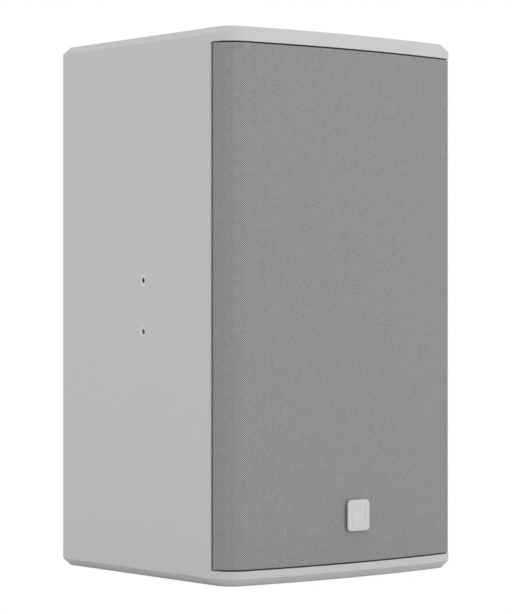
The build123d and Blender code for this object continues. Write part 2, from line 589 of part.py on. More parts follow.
with BuildPart() as hf_phase_plug:
    with BuildSketch(upright(BAFFLE_FRONT + 78, z=HF_Z)):
        Rectangle(38, 2)
        Rectangle(2, 38)
    extrude(amount=-12)
    bore = [(0, 72), (THROAT_R, 72), (18.5, 90), (0, 90)]
    revolve(turned(HF_Z, *bore), axis=turning_axis(HF_Z), mode=Mode.INTERSECT)
    bullet = [(0, 74), (5, 79), (12, 88), (16.3, 91.5), (16.3, 93), (12, 95.4), (6, 97.2), (0, 97.8)]
    revolve(turned(HF_Z, *bullet), axis=turning_axis(HF_Z))
finish(hf_phase_plug, "hf_phase_plug")

# ---------------------------------------------------------------- crossover, on posts inside the back
BOARD_Z = 385
BOARD_W, BOARD_H, BOARD_T = 130, 120, 1.6
POST_H = 8
BOARD_BACK = INNER_BACK - POST_H
BOARD_FACE = BOARD_BACK - BOARD_T
POSTS = [(x * (BOARD_W / 2 - 6), z * (BOARD_H / 2 - 6)) for x in (-1, 1) for z in (-1, 1)]
TAB_XS = (-45, -37, -4, 4, 37, 45)
TAB_Z = -BOARD_H / 2 + 8
POST_SCREW_R = 1.6
with BuildPart() as crossover_board:
    with BuildSketch(upright(BOARD_FACE, z=BOARD_Z)):
        RectangleRounded(BOARD_W, BOARD_H, 3)
        with Locations(*POSTS):
            Circle(POST_SCREW_R, mode=Mode.SUBTRACT)
    extrude(amount=-BOARD_T)
finish(crossover_board, "crossover_board")

with BuildPart() as board_posts:
    with BuildSketch(upright(BOARD_BACK, z=BOARD_Z)):
        with Locations(*POSTS):
            RegularPolygon(4.5, 6)
            Circle(POST_SCREW_R, mode=Mode.SUBTRACT)
    extrude(amount=-POST_H)
finish(board_posts, "board_posts")

# Spool sizes: x, z on the board, core radius, winding radius, flange radius, length.
SPOOLS = [(-38, 30, 8, 19, 21, 24), (10, 32, 7, 15, 17, 20), (-42, -18, 5, 11, 12.5, 14)]
with BuildPart() as inductor_bobbins:
    for x, z, core_r, coil_r, flange_r, length in SPOOLS:
        front = upright(BOARD_FACE, x, BOARD_Z + z)
        extrude(discs(front, [(0, 0)], core_r), amount=length)
        extrude(discs(front, [(0, 0)], flange_r), amount=1.5)
        extrude(discs(front.offset(length - 1.5), [(0, 0)], flange_r), amount=1.5)
        extrude(discs(front, [(0, 0)], core_r - 2), amount=length, mode=Mode.SUBTRACT)
finish(inductor_bobbins, "inductor_bobbins")

with BuildPart() as inductor_windings:
    for x, z, core_r, coil_r, flange_r, length in SPOOLS:
        front = upright(BOARD_FACE - 1.5, x, BOARD_Z + z)
        extrude(discs(front, [(0, 0)], coil_r), amount=length - 3)
        extrude(discs(front, [(0, 0)], core_r), amount=length - 3, mode=Mode.SUBTRACT)
finish(inductor_windings, "inductor_windings")

# Film capacitors lie across the board: x, z, radius, length.
CAPACITORS = [(42, 6, 9, 34), (42, -16, 8, 30), (4, -8, 7, 26), (4, -26, 6, 24)]
with BuildPart() as crossover_capacitors:
    for x, z, radius, length in CAPACITORS:
        with BuildSketch(Plane((x - length / 2, BOARD_FACE - radius, BOARD_Z + z), z_dir=(1, 0, 0))):
            Circle(radius)
        extrude(amount=length)
    chamfer(crossover_capacitors.edges().filter_by(GeomType.CIRCLE), 1)
finish(crossover_capacitors, "crossover_capacitors")

with BuildPart() as crossover_resistors:
    with BuildSketch(upright(BOARD_FACE, z=BOARD_Z)):
        with Locations((46, 30), (46, 44)):
            Rectangle(34, 9)
    extrude(amount=9)
    chamfer(crossover_resistors.edges().filter_by(Axis.Y), 0.8)
finish(crossover_resistors, "crossover_resistors")

TAB_W, TAB_T, TAB_REACH = 4.8, 0.8, 9

# ---------------------------------------------------------------- line transformer on the floor panel
CORE_W, CORE_D, CORE_H = 76, 34, 62
CORE_Y = 62
COIL_OUT = 12
LEG = 24
with BuildPart() as transformer_core:
    with BuildSketch(upright(CORE_Y - CORE_D / 2, z=PLY + 2 + CORE_H / 2)):
        Rectangle(CORE_W, CORE_H)
        with Locations((-LEG, 0), (LEG, 0)):
            Rectangle(16, CORE_H - 24, mode=Mode.SUBTRACT)
    extrude(amount=-CORE_D)
finish(transformer_core, "transformer_core")

COIL_H = CORE_H - 25
with BuildPart() as transformer_coil:
    with BuildSketch(Plane((0, CORE_Y, PLY + 2 + (CORE_H - COIL_H) / 2))):
        RectangleRounded(2 * LEG + 15, CORE_D + 2 * COIL_OUT, 7)
        Rectangle(2 * LEG - 16, CORE_D, mode=Mode.SUBTRACT)
    extrude(amount=COIL_H)
finish(transformer_coil, "transformer_coil")

FRAME_W = CORE_W + 36
FOOT_SCREWS = [(-FRAME_W / 2 + 8, CORE_Y), (FRAME_W / 2 - 8, CORE_Y)]
with BuildPart() as transformer_bracket:
    with BuildSketch(Plane.XY.offset(PLY)):
        with Locations((0, CORE_Y)):
            RectangleRounded(FRAME_W, CORE_D - 8, 4)
    extrude(amount=2)
    with BuildSketch(upright(CORE_Y - CORE_D / 2 + 4, z=PLY)):
        with Locations((0, CORE_H / 2 + 2)):
            Rectangle(CORE_W + 4, CORE_H + 4)
            Rectangle(CORE_W, CORE_H, mode=Mode.SUBTRACT)
    extrude(amount=-(CORE_D - 8))
    with BuildSketch(Plane.XY.offset(PLY)):
        with Locations(*FOOT_SCREWS):
            Circle(POST_SCREW_R)
    extrude(amount=2, mode=Mode.SUBTRACT)
finish(transformer_bracket, "transformer_bracket")

with BuildPart() as inner_screws:
    add(socket_screws(upright(BOARD_FACE, z=BOARD_Z), POSTS, 3, 2, POST_SCREW_R,
                      BOARD_T + POST_H).part)
    add(socket_screws(Plane.XY.offset(PLY + 2), FOOT_SCREWS, 3, 2, POST_SCREW_R, 2).part)
finish(inner_screws, "inner_screws")

# ---------------------------------------------------------------- rear input cup
INSIDE_W, INSIDE_H = CUP_RECESS
with BuildPart() as input_cup:
    with BuildSketch(upright(BACK_Y, z=CUP_Z)):
        RectangleRounded(CUP_FLANGE[0] - 1, CUP_FLANGE[1] - 1, 5.5)
    extrude(amount=CUP_FLANGE_T)
    with BuildSketch(upright(BACK_Y, z=CUP_Z)):
        RectangleRounded(INSIDE_W + 2 * CUP_WALL, INSIDE_H + 2 * CUP_WALL, 4.5)
    extrude(amount=CUP_DEPTH + CUP_WALL)
    with BuildSketch(upright(BACK_Y, z=CUP_Z)):
        RectangleRounded(INSIDE_W, INSIDE_H, 3)
    extrude(amount=CUP_DEPTH, mode=Mode.SUBTRACT)
    extrude(discs(upright(CUP_FLOOR, z=CUP_Z), [(KNOB_X, 0)], 5), amount=CUP_WALL,
            mode=Mode.SUBTRACT)
    with BuildSketch(upright(CUP_FLOOR, z=CUP_Z)):
        with Locations((KNOB_X, 0)):
            with PolarLocations(17, TAPS, start_angle=FIRST_TAP, angular_range=150, endpoint=True):
                Rectangle(4, 1.2)
    extrude(amount=-0.6)
    extrude(discs(upright(BACK_Y, z=CUP_Z), CUP_CORNERS, CUP_SCREW_R), amount=CUP_FLANGE_T,
            mode=Mode.SUBTRACT)
    extrude(discs(upright(BACK_Y, z=CUP_Z), CUP_CORNERS, CUP_HEAD_R), amount=CUP_HEAD_H,
            mode=Mode.SUBTRACT)
finish(input_cup, "input_cup")

with BuildPart() as cup_screws:
    extrude(discs(upright(BACK_Y, z=CUP_Z), CUP_CORNERS, CUP_HEAD_R), amount=CUP_HEAD_H)
    extrude(discs(upright(BACK_Y, z=CUP_Z), CUP_CORNERS, CUP_SCREW_R), amount=CUP_SCREW_END)
    with BuildSketch(upright(BACK_Y, z=CUP_Z)):
        with Locations(*CUP_CORNERS):
            RegularPolygon(CUP_HEAD_R / 2, 6)
    extrude(amount=CUP_HEAD_H * 0.75, mode=Mode.SUBTRACT)
finish(cup_screws, "cup_screws")

PIN_XS = [(i - (PINS - 1) / 2) * PIN_PITCH for i in range(PINS)]
HEADER_D = 8
PIN_W, PIN_REACH = 1.2, 8
with BuildPart() as terminal_header:
    with BuildSketch(upright(CUP_FLOOR, PLUG_X, CUP_Z)):
        Rectangle(PINS * PIN_PITCH + 4, 14)
    extrude(amount=-HEADER_D)
    chamfer(terminal_header.edges().group_by(Axis.Y)[-1], 0.8)
finish(terminal_header, "terminal_header")

# Spades of the board and both drivers, and the square pins that the input plug grips.
with BuildPart() as contact_terminals:
    with BuildSketch(upright(BOARD_FACE, z=BOARD_Z + TAB_Z)):
        with Locations(*[(x, 0) for x in TAB_XS]):
            Rectangle(TAB_W, TAB_T)
    extrude(amount=TAB_REACH)
    with BuildSketch(upright(BAFFLE_FRONT + 75, z=TERMINAL_Z + 12 + TAB_REACH / 2)):
        with Locations((-5, 0), (5, 0)):
            Rectangle(TAB_W, TAB_REACH)
    extrude(amount=-TAB_T)
    with BuildSketch(upright(BAFFLE_FRONT + HF_DEPTH, z=HF_Z - 25)):
        with Locations((-8, 0), (8, 0)):
            Rectangle(TAB_W, TAB_T)
    extrude(amount=-TAB_REACH)
    with BuildSketch(upright(CUP_FLOOR + HEADER_D, PLUG_X, CUP_Z)):
        with Locations(*[(x, 0) for x in PIN_XS]):
            Rectangle(PIN_W, PIN_W)
    extrude(amount=-PIN_REACH)
finish(contact_terminals, "contact_terminals")

PLUG_FRONT = CUP_FLOOR + HEADER_D + 0.4
PLUG_W, PLUG_H, PLUG_D = PINS * PIN_PITCH + 4, 18, 22
WIRE_R, WIRE_DEPTH = 2.0, 9
CLAMP_Y = PLUG_FRONT + 15
CLAMPS = [(PLUG_X + x, CLAMP_Y) for x in PIN_XS]
with BuildPart() as terminal_plug:
    with BuildSketch(upright(PLUG_FRONT, PLUG_X, CUP_Z)):
        Rectangle(PLUG_W, PLUG_H)
    extrude(amount=-PLUG_D)
    fillet(terminal_plug.edges().filter_by(Axis.Y), 1)
    chamfer(terminal_plug.edges().group_by(Axis.Y)[-1], 1)
    with BuildSketch(upright(PLUG_FRONT, PLUG_X, CUP_Z)):
        with Locations(*[(x, 0) for x in PIN_XS]):
            Rectangle(2.2, 2.2)
    extrude(amount=-10, mode=Mode.SUBTRACT)
    with BuildSketch(upright(PLUG_FRONT + PLUG_D, PLUG_X, CUP_Z)):
        with Locations(*[(x, -2) for x in PIN_XS]):
            Circle(WIRE_R)
    extrude(amount=WIRE_DEPTH, mode=Mode.SUBTRACT)
    with BuildSketch(Plane.XY.offset(CUP_Z + PLUG_H / 2)):
        with Locations(*CLAMPS):
            Circle(2.2)
    extrude(amount=-6, mode=Mode.SUBTRACT)
finish(terminal_plug, "terminal_plug")

with BuildPart() as clamp_screws:
    with BuildSketch(Plane.XY.offset(CUP_Z + PLUG_H / 2 - 6)):
        with Locations(*CLAMPS):
            Circle(2.2)
    extrude(amount=5)
    with BuildSketch(Plane.XY.offset(CUP_Z + PLUG_H / 2 - 1)):
        with Locations(*CLAMPS):
            Rectangle(3.6, 0.7)
    extrude(amount=-1.2, mode=Mode.SUBTRACT)
finish(clamp_screws, "clamp_screws")

SHAFT_R = 3.0
SWITCH_R = 13
SWITCH_D = 16
KNOB_R, KNOB_H = 11, 16
with BuildPart() as selector_switch:
    with BuildSketch(upright(CUP_FLOOR - CUP_WALL, KNOB_X, CUP_Z)):
        Circle(SWITCH_R)
    extrude(amount=SWITCH_D)
    with BuildSketch(upright(CUP_FLOOR + 1, KNOB_X, CUP_Z)):
        Circle(5)
    extrude(amount=CUP_WALL + 1)
    with BuildSketch(upright(CUP_FLOOR + 1, KNOB_X, CUP_Z)):
        Circle(SHAFT_R + RUNNING)
    extrude(amount=CUP_WALL + 9, mode=Mode.SUBTRACT)
    with BuildSketch(upright(CUP_FLOOR - CUP_WALL - SWITCH_D, KNOB_X, CUP_Z)):
        with PolarLocations(9, TAPS, start_angle=FIRST_TAP, angular_range=150, endpoint=True):
            Rectangle(1, 3)
    extrude(amount=5)
finish(selector_switch, "selector_switch")

KNOB_FRONT = CUP_FLOOR + 2
with BuildPart() as selector_knob:
    with BuildSketch(upright(KNOB_FRONT, KNOB_X, CUP_Z)):
        Circle(KNOB_R)
    extrude(amount=-4)
    with BuildSketch(upright(KNOB_FRONT + 4, KNOB_X, CUP_Z)):
        Circle(KNOB_R - 2)
    extrude(amount=-(KNOB_H - 4), taper=3)
    with BuildSketch(upright(KNOB_FRONT + 4, KNOB_X, CUP_Z)):
        with PolarLocations(KNOB_R - 1.4, 16):
            Circle(0.9)
    extrude(amount=-(KNOB_H - 6), mode=Mode.SUBTRACT)
    with BuildSketch(upright(KNOB_FRONT + KNOB_H, KNOB_X, CUP_Z)):
        with PolarLocations(4.4, 1, start_angle=FIRST_TAP):
            Rectangle(7, 1.2)
    extrude(amount=1, mode=Mode.SUBTRACT)
    with BuildSketch(upright(KNOB_FRONT, KNOB_X, CUP_Z)):
        Circle(SHAFT_R)
    extrude(amount=9)
finish(selector_knob, "selector_knob")

# ---------------------------------------------------------------- internal leads
LEAD_R = 1.1


def lead(*points):
    """One insulated wire: straight runs joined by tangent arcs as large as the runs allow."""
    runs = [Vector(*b) - Vector(*a) for a, b in zip(points, points[1:])]
    radii = [0.45 * min(before.length, after.length) / tan(radians(before.get_angle(after) / 2))
             for before, after in zip(runs, runs[1:])]
    with BuildPart() as wire:
        with BuildLine() as route:
            FilletPolyline(*points, radius=radii)
        with BuildSketch(Plane(points[0], z_dir=runs[0])):
            Circle(LEAD_R)
        sweep(path=route.wires()[0])
    length = route.wires()[0].length
    print("lead", round(length), "mm, radii", [round(radius) for radius in radii],
          "volume ratio", round(wire.part.volume / (length * pi * LEAD_R**2), 4))
    return wire.part


BOARD_PIN_Z = BOARD_Z + TAB_Z
TAB_FRONT = BOARD_FACE - TAB_REACH
WOOFER_TAB_TOP = TERMINAL_Z + 12 + TAB_REACH
HF_TAB_END = BAFFLE_FRONT + HF_DEPTH + TAB_REACH
COIL_TOP = PLY + 2 + (CORE_H + COIL_H) / 2
SWITCH_BACK = CUP_FLOOR - CUP_WALL - SWITCH_D - 5
ROUTES = []
for sign in (-1, 1):
    ROUTES += [
        # woofer
        [(sign * 5, -37.1, WOOFER_TAB_TOP + 0.2), (sign * 5, -34, WOOFER_TAB_TOP + 19),
         (sign * 4 - 6, -12, 290), (sign * 4 - 24, 26, 306), (sign * 4 - 38, 66, 318),
         (sign * 4 - 41, 100, BOARD_PIN_Z), (sign * 4 - 41, TAB_FRONT, BOARD_PIN_Z)],
        # compression driver
        [(sign * 8, HF_TAB_END + 0.2, HF_Z - 25), (sign * 8, HF_TAB_END + 19, HF_Z - 27),
         (sign * 6 + 14, 52, 362), (sign * 4 + 34, 76, 342), (sign * 4 + 41, 102, BOARD_PIN_Z),
         (sign * 4 + 41, TAB_FRONT, BOARD_PIN_Z)],
        # transformer to crossover
        [(sign * 6, CORE_Y + 21, COIL_TOP + 0.2), (sign * 6, CORE_Y + 21, COIL_TOP + 28),
         (sign * 5 - 3, 84, 140), (sign * 4 - 5, 78, 200), (sign * 4 - 4, 80, 256),
         (sign * 4, 88, 304), (sign * 4, 104, BOARD_PIN_Z), (sign * 4, TAB_FRONT, BOARD_PIN_Z)],
        # tap selector to transformer
        [(18 + sign * 3, CORE_Y + 20, COIL_TOP + 0.2), (19 + sign * 3, CORE_Y + 18, COIL_TOP + 26),
         (KNOB_X + sign * 5, CORE_Y + 16, 124), (KNOB_X + sign * 7.8, 82, CUP_Z + 4.5),
         (KNOB_X + sign * 7.8, SWITCH_BACK - 0.2, CUP_Z + 4.5)],
    ]
with BuildPart() as internal_leads:
    for points in ROUTES:
        add(lead(*points))
finish(internal_leads, "internal_leads")
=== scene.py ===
import json
import math

import bmesh
import bpy
import numpy as np
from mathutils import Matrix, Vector, noise


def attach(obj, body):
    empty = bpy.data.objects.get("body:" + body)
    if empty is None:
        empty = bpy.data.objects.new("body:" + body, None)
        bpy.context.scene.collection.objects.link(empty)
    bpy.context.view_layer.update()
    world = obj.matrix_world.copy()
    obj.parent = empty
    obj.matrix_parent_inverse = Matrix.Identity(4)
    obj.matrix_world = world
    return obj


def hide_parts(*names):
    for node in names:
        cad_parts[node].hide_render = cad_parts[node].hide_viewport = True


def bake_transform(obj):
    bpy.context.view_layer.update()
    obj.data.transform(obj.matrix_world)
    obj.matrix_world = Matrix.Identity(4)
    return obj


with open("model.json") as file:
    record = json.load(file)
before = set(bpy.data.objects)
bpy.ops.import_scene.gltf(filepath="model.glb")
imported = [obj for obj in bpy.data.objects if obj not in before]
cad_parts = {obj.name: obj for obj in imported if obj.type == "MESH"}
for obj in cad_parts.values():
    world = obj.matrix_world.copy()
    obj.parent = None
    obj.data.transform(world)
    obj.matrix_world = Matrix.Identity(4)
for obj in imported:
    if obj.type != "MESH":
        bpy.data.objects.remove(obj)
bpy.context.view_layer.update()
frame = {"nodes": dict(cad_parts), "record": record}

MM = 0.001
RECORD = frame["record"]
SLOT_OF = {row["node"]: row["material_slot"] for row in RECORD["subparts"]}


# ---------------------------------------------------------------- camera, floor and studio light
CAMERA_PLACE = (-2.1157, -2.1317, 0.2632)
CAMERA_YAW = math.radians(-45.002)
CAMERA_LENS = 174.75
SENSOR = 36


def make_camera():
    data = bpy.data.cameras.new("camera")
    data.lens, data.sensor_width = CAMERA_LENS, SENSOR
    data.clip_start, data.clip_end = 0.05, 60
    camera = bpy.data.objects.new("camera", data)
    camera.location = CAMERA_PLACE
    camera.rotation_euler = (math.radians(90), 0, CAMERA_YAW)
    bpy.context.scene.collection.objects.link(camera)
    bpy.context.scene.camera = camera


def area_light(name, place, target, size, power):
    data = bpy.data.lights.new(name, "AREA")
    data.shape, data.size, data.size_y = "RECTANGLE", *size
    data.energy = power
    light = bpy.data.objects.new(name, data)
    light.location = place
    light.rotation_euler = (Vector(target) - Vector(place)).to_track_quat("-Z", "Y").to_euler()
    bpy.context.scene.collection.objects.link(light)


SKY = 0.735                # brightness of the white surround that lights the object
FLOOR_SHADE = 0.04         # how much of the object's shadow the floor shows


def make_world():
    """A white surround: full white to the eye, a little dimmer as a light."""
    world = bpy.data.worlds.new("studio")
    world.use_nodes = True
    tree = world.node_tree
    tree.nodes.clear()
    seen, lit = tree.nodes.new("ShaderNodeBackground"), tree.nodes.new("ShaderNodeBackground")
    seen.inputs["Color"].default_value = lit.inputs["Color"].default_value = (1, 1, 1, 1)
    seen.inputs["Strength"].default_value, lit.inputs["Strength"].default_value = 1.0, SKY
    path = tree.nodes.new("ShaderNodeLightPath")
    mix, out = tree.nodes.new("ShaderNodeMixShader"), tree.nodes.new("ShaderNodeOutputWorld")
    tree.links.new(path.outputs["Is Camera Ray"], mix.inputs[0])
    tree.links.new(lit.outputs[0], mix.inputs[1])
    tree.links.new(seen.outputs[0], mix.inputs[2])
    tree.links.new(mix.outputs[0], out.inputs["Surface"])
    bpy.context.scene.world = world


def make_floor():
    """Pale paper sweep under the object, with only a faint shadow."""
    mesh = bpy.data.meshes.new("floor")
    half = 6.0
    steps = 12
    grid = bmesh.new()
    bmesh.ops.create_grid(grid, x_segments=steps, y_segments=steps, size=half)
    grid.to_mesh(mesh)
    grid.free()
    floor = bpy.data.objects.new("floor", mesh)
    bpy.context.scene.collection.objects.link(floor)
    material = bpy.data.materials.new("floor_paper")
    material.use_nodes = True
    tree = material.node_tree
    tree.nodes.clear()
    paper, glow = tree.nodes.new("ShaderNodeBsdfDiffuse"), tree.nodes.new("ShaderNodeEmission")
    paper.inputs["Color"].default_value = (0.8, 0.8, 0.8, 1)
    glow.inputs["Strength"].default_value = 1.02
    path, share = tree.nodes.new("ShaderNodeLightPath"), tree.nodes.new("ShaderNodeMath")
    share.operation = "MULTIPLY"
    share.inputs[1].default_value = 1 - FLOOR_SHADE
    mix, out = tree.nodes.new("ShaderNodeMixShader"), tree.nodes.new("ShaderNodeOutputMaterial")
    tree.links.new(path.outputs["Is Camera Ray"], share.inputs[0])
    tree.links.new(share.outputs[0], mix.inputs[0])
    tree.links.new(paper.outputs[0], mix.inputs[1])
    tree.links.new(glow.outputs[0], mix.inputs[2])
    tree.links.new(mix.outputs[0], out.inputs["Surface"])
    mesh.materials.append(material)


make_camera()
make_world()
make_floor()
area_light("key", (1.2, -3.2, 0.5), (0, 0, 0.25), (2.4, 1.6), 18)
bpy.context.scene.view_settings.view_transform = "Standard"


# ---------------------------------------------------------------- material building blocks
class Finish:
    """A node material, built up in layers around one Principled shader."""

    def __init__(self, name, colour, roughness, metallic=0.0, specular=0.5):
        self.material = bpy.data.materials.new(name)
        self.material.use_nodes = True
        self.material.diffuse_color = (*colour, 1)
        self.tree = self.material.node_tree
        self.shader = self.tree.nodes["Principled BSDF"]
        self.shader.inputs["Base Color"].default_value = (*colour, 1)
        self.shader.inputs["Roughness"].default_value = roughness
        self.shader.inputs["Metallic"].default_value = metallic
        self.shader.inputs["Specular IOR Level"].default_value = specular
        self.colour = self.roughness = self.normal = None
        self.base, self.base_roughness = colour, roughness
        self.place = self.node("ShaderNodeTexCoord").outputs["Object"]

    def node(self, kind, **settings):
        made = self.tree.nodes.new(kind)
        for key, value in settings.items():
            setattr(made, key, value)
        return made

    def link(self, source, target):
        self.tree.links.new(source, target)
        return target

    def value(self, operation, a, b=0.0, c=0.0):
        made = self.node("ShaderNodeMath", operation=operation)
        for socket, given in zip(made.inputs, (a, b, c)):
            if isinstance(given, (int, float)):
                socket.default_value = given
            else:
                self.link(given, socket)
        return made.outputs[0]

    def scaled_place(self, scale):
        mapping = self.node("ShaderNodeMapping")
        mapping.inputs["Scale"].default_value = scale
        self.link(self.place, mapping.inputs["Vector"])
        return mapping.outputs[0]

    def noise(self, size, detail=2.0, roughness=0.5, stretch=(1, 1, 1), distortion=0.0):
        """Noise whose blobs are about size metres across."""
        made = self.node("ShaderNodeTexNoise")
        made.inputs["Scale"].default_value = 1 / size
        made.inputs["Detail"].default_value = detail
        made.inputs["Roughness"].default_value = roughness
        made.inputs["Distortion"].default_value = distortion
        self.link(self.scaled_place(stretch), made.inputs["Vector"])
        return made.outputs["Fac"]

    def cells(self, size, feature="F1", stretch=(1, 1, 1)):
        made = self.node("ShaderNodeTexVoronoi", feature=feature)
        made.inputs["Scale"].default_value = 1 / size
        self.link(self.scaled_place(stretch), made.inputs["Vector"])
        return made.outputs["Distance"]

    def waves(self, size, direction="Z", distortion=0.0, kind="BANDS"):
        made = self.node("ShaderNodeTexWave", wave_type=kind)
        if kind == "BANDS":
            made.bands_direction = direction
        else:
            made.rings_direction = direction
        made.inputs["Scale"].default_value = 0.314 / size
        made.inputs["Distortion"].default_value = distortion
        self.link(self.place, made.inputs["Vector"])
        return made.outputs["Fac"]

    def ramp(self, factor, *stops):
        made = self.node("ShaderNodeValToRGB")
        while len(made.color_ramp.elements) < len(stops):
            made.color_ramp.elements.new(0.5)
        for element, (place, colour) in zip(made.color_ramp.elements, stops):
            element.position = place
            element.color = (*colour, 1) if len(colour) == 3 else colour
        self.link(factor, made.inputs["Fac"])
        return made.outputs["Color"]

    def tint(self, factor, colour, strength=1.0):
        """Mixes a colour over what is there, by a factor."""
        mix = self.node("ShaderNodeMix", data_type="RGBA")
        amount = factor if strength == 1.0 else self.value("MULTIPLY", factor, strength)
        self.link(amount, mix.inputs["Factor"])
        if self.colour is None:
            mix.inputs["A"].default_value = (*self.base, 1)
        else:
            self.link(self.colour, mix.inputs["A"])
        if isinstance(colour, tuple):
            mix.inputs["B"].default_value = (*colour, 1)
        else:
            self.link(colour, mix.inputs["B"])
        self.colour = mix.outputs["Result"]
        return self

    def vary_roughness(self, factor, low, high):
        spread = self.node("ShaderNodeMapRange")
        spread.inputs["To Min"].default_value, spread.inputs["To Max"].default_value = low, high
        self.link(factor, spread.inputs["Value"])
        self.roughness = spread.outputs["Result"]
        return self

    def bump(self, height, depth, strength=1.0):
        """Relief of a given depth in metres."""
        made = self.node("ShaderNodeBump")
        made.inputs["Distance"].default_value = depth
        made.inputs["Strength"].default_value = strength
        self.link(height, made.inputs["Height"])
        if self.normal is not None:
            self.link(self.normal, made.inputs["Normal"])
        self.normal = made.outputs["Normal"]
        return self

    def done(self):
        for source, socket in ((self.colour, "Base Color"), (self.roughness, "Roughness"),
                               (self.normal, "Normal")):
            if source is not None:
                self.link(source, self.shader.inputs[socket])
        return self.material


# ---------------------------------------------------------------- grille surface, as on the CAD shell
TAPER = math.radians(11.4)
BOW_R, CORNER_R = 0.960, 0.023
APEX_Y, HALF_WIDTH = -0.1545, 0.1675
BOW_CENTRE_Y = APEX_Y + BOW_R


def side_x(y, inset):
    """X of the left side face, moved in by inset, at depth y."""
    return -HALF_WIDTH + (y - APEX_Y) * math.tan(TAPER) + inset / math.cos(TAPER)


def corner_centre():
    """Centre of the left front corner arc, which touches the side line and the bow."""
    start = Vector((side_x(APEX_Y, CORNER_R), APEX_Y - BOW_CENTRE_Y))
    along = Vector((math.sin(TAPER), math.cos(TAPER)))
    reach = start.dot(along)
    inside = reach**2 - start.length_squared + (BOW_R - CORNER_R) ** 2
    return start + along * (-reach - math.sqrt(inside)) + Vector((0, BOW_CENTRE_Y))


CORNER = corner_centre()
TURN_AT = math.atan2(-CORNER.x, BOW_CENTRE_Y - CORNER.y)
HOLE_PITCH = (0.00217, 0.00198)
HOLE_R = 0.00058


def sheet_length(finish):
    """Distance round the grille from its middle line, so that holes keep their spacing on the corners."""
    xyz = finish.node("ShaderNodeSeparateXYZ")
    finish.link(finish.place, xyz.inputs[0])
    x, y, z = xyz.outputs
    math_node = finish.value
    across = math_node("ABSOLUTE", x)
    bow_angle = math_node("ARCTAN2", across, math_node("SUBTRACT", BOW_CENTRE_Y, y))
    corner_angle = math_node("ARCTAN2", math_node("ADD", across, CORNER.x),
                             math_node("SUBTRACT", CORNER.y, y))
    on_bow = math_node("MULTIPLY", bow_angle, BOW_R)
    on_corner = math_node("MULTIPLY_ADD", math_node("SUBTRACT", corner_angle, TURN_AT), CORNER_R,
                          TURN_AT * BOW_R)
    past = math_node("GREATER_THAN", bow_angle, TURN_AT)
    step = math_node("SUBTRACT", on_corner, on_bow)
    length = math_node("MULTIPLY_ADD", past, step, on_bow)
    return math_node("MULTIPLY", length, math_node("SIGN", x)), z


def nearest_hole(finish, along, up):
    """Distance in metres to the nearest hole of a staggered pattern."""
    math_node = finish.value
    squares = []
    for shift in (0.0, 0.5):
        parts = []
        for coordinate, pitch in zip((along, up), HOLE_PITCH):
            turns = math_node("MULTIPLY_ADD", coordinate, 1 / pitch, shift + 200)
            off = math_node("SUBTRACT", math_node("FRACT", turns), 0.5)
            parts.append(math_node("POWER", math_node("MULTIPLY", off, pitch), 2.0))
        squares.append(math_node("ADD", *parts))
    return math_node("SQRT", math_node("MINIMUM", *squares))


def grille_paint():
    finish = Finish("grille_paint", (0.61, 0.61, 0.61), 0.6)
    along, up = sheet_length(finish)
    distance = nearest_hole(finish, along, up)
    mottle = finish.noise(0.006, detail=3)
    edge = finish.value("MULTIPLY_ADD", mottle, 0.00006, HOLE_R - 0.00003)
    inside = finish.value("SUBTRACT", edge, distance)
    hole = finish.node("ShaderNodeMapRange")
    hole.inputs["From Min"].default_value, hole.inputs["From Max"].default_value = -4e-5, 4e-5
    finish.link(inside, hole.inputs["Value"])
    hole = hole.outputs["Result"]
    finish.tint(finish.noise(0.003, detail=2), (0.56, 0.56, 0.56), 0.5)
    # Dark dots where the holes are: partly the black foam behind them, partly painted shade on their
    # white-painted walls.
    finish.tint(hole, (0.12, 0.12, 0.12))  # the painted walls of the holes, in shade
    finish.vary_roughness(hole, 0.6, 0.95)
    finish.bump(finish.noise(0.0006, detail=2), 0.00002)
    finish.bump(finish.value("SUBTRACT", 1.0, hole), 0.0003, 0.6)
    return finish.done()


# ---------------------------------------------------------------- materials, one function each
def cabinet_paint():
    """Hard textured paint: fine grains, a soft orange peel under them and the faintest cloudiness."""
    finish = Finish("cabinet_paint", (0.745, 0.745, 0.745), 0.5)
    finish.tint(finish.noise(0.12, detail=3), (0.715, 0.715, 0.715), 0.55)
    finish.tint(finish.ramp(finish.noise(0.0009, detail=3, roughness=0.7), (0.52, (0, 0, 0)),
                            (0.75, (1, 1, 1))), (0.66, 0.66, 0.66), 0.5)
    finish.vary_roughness(finish.noise(0.002, detail=2), 0.42, 0.62)
    finish.bump(finish.noise(0.006, detail=2), 0.00008)
    finish.bump(finish.noise(0.0012, detail=3, roughness=0.65), 0.00014)
    return finish.done()


def baffle_paint():
    finish = Finish("baffle_paint", (0.022, 0.022, 0.022), 0.75)
    finish.tint(finish.noise(0.0012, detail=4), (0.045, 0.045, 0.045), 0.8)
    finish.bump(finish.noise(0.0008, detail=4, roughness=0.7), 0.0001)
    finish.bump(finish.noise(0.004, stretch=(1, 1, 0.15)), 0.00006)
    return finish.done()


def wood(name, light, dark, ring_size, along=(1, 1, 1)):
    """Planed wood: stretched rings, pores and slight colour drift."""
    finish = Finish(name, light, 0.6)
    rings = finish.noise(ring_size, detail=4, roughness=0.6, stretch=along, distortion=0.6)
    finish.tint(finish.ramp(rings, (0.35, (0, 0, 0)), (0.65, (1, 1, 1))), dark, 0.7)
    pores = finish.noise(0.0012, detail=3, stretch=along)
    finish.tint(finish.ramp(pores, (0.58, (0, 0, 0)), (0.72, (1, 1, 1))),
                tuple(c * 0.5 for c in dark), 0.6)
    finish.vary_roughness(rings, 0.5, 0.75)
    finish.bump(pores, 0.00008)
    return finish


def birch_ply():
    finish = wood("birch_ply", (0.66, 0.47, 0.28), (0.50, 0.32, 0.17), 0.012, (0.12, 1, 1))
    plies = finish.waves(0.0028, "Z")
    finish.tint(finish.ramp(plies, (0.45, (0, 0, 0)), (0.55, (1, 1, 1))), (0.33, 0.20, 0.10), 0.25)
    return finish.done()


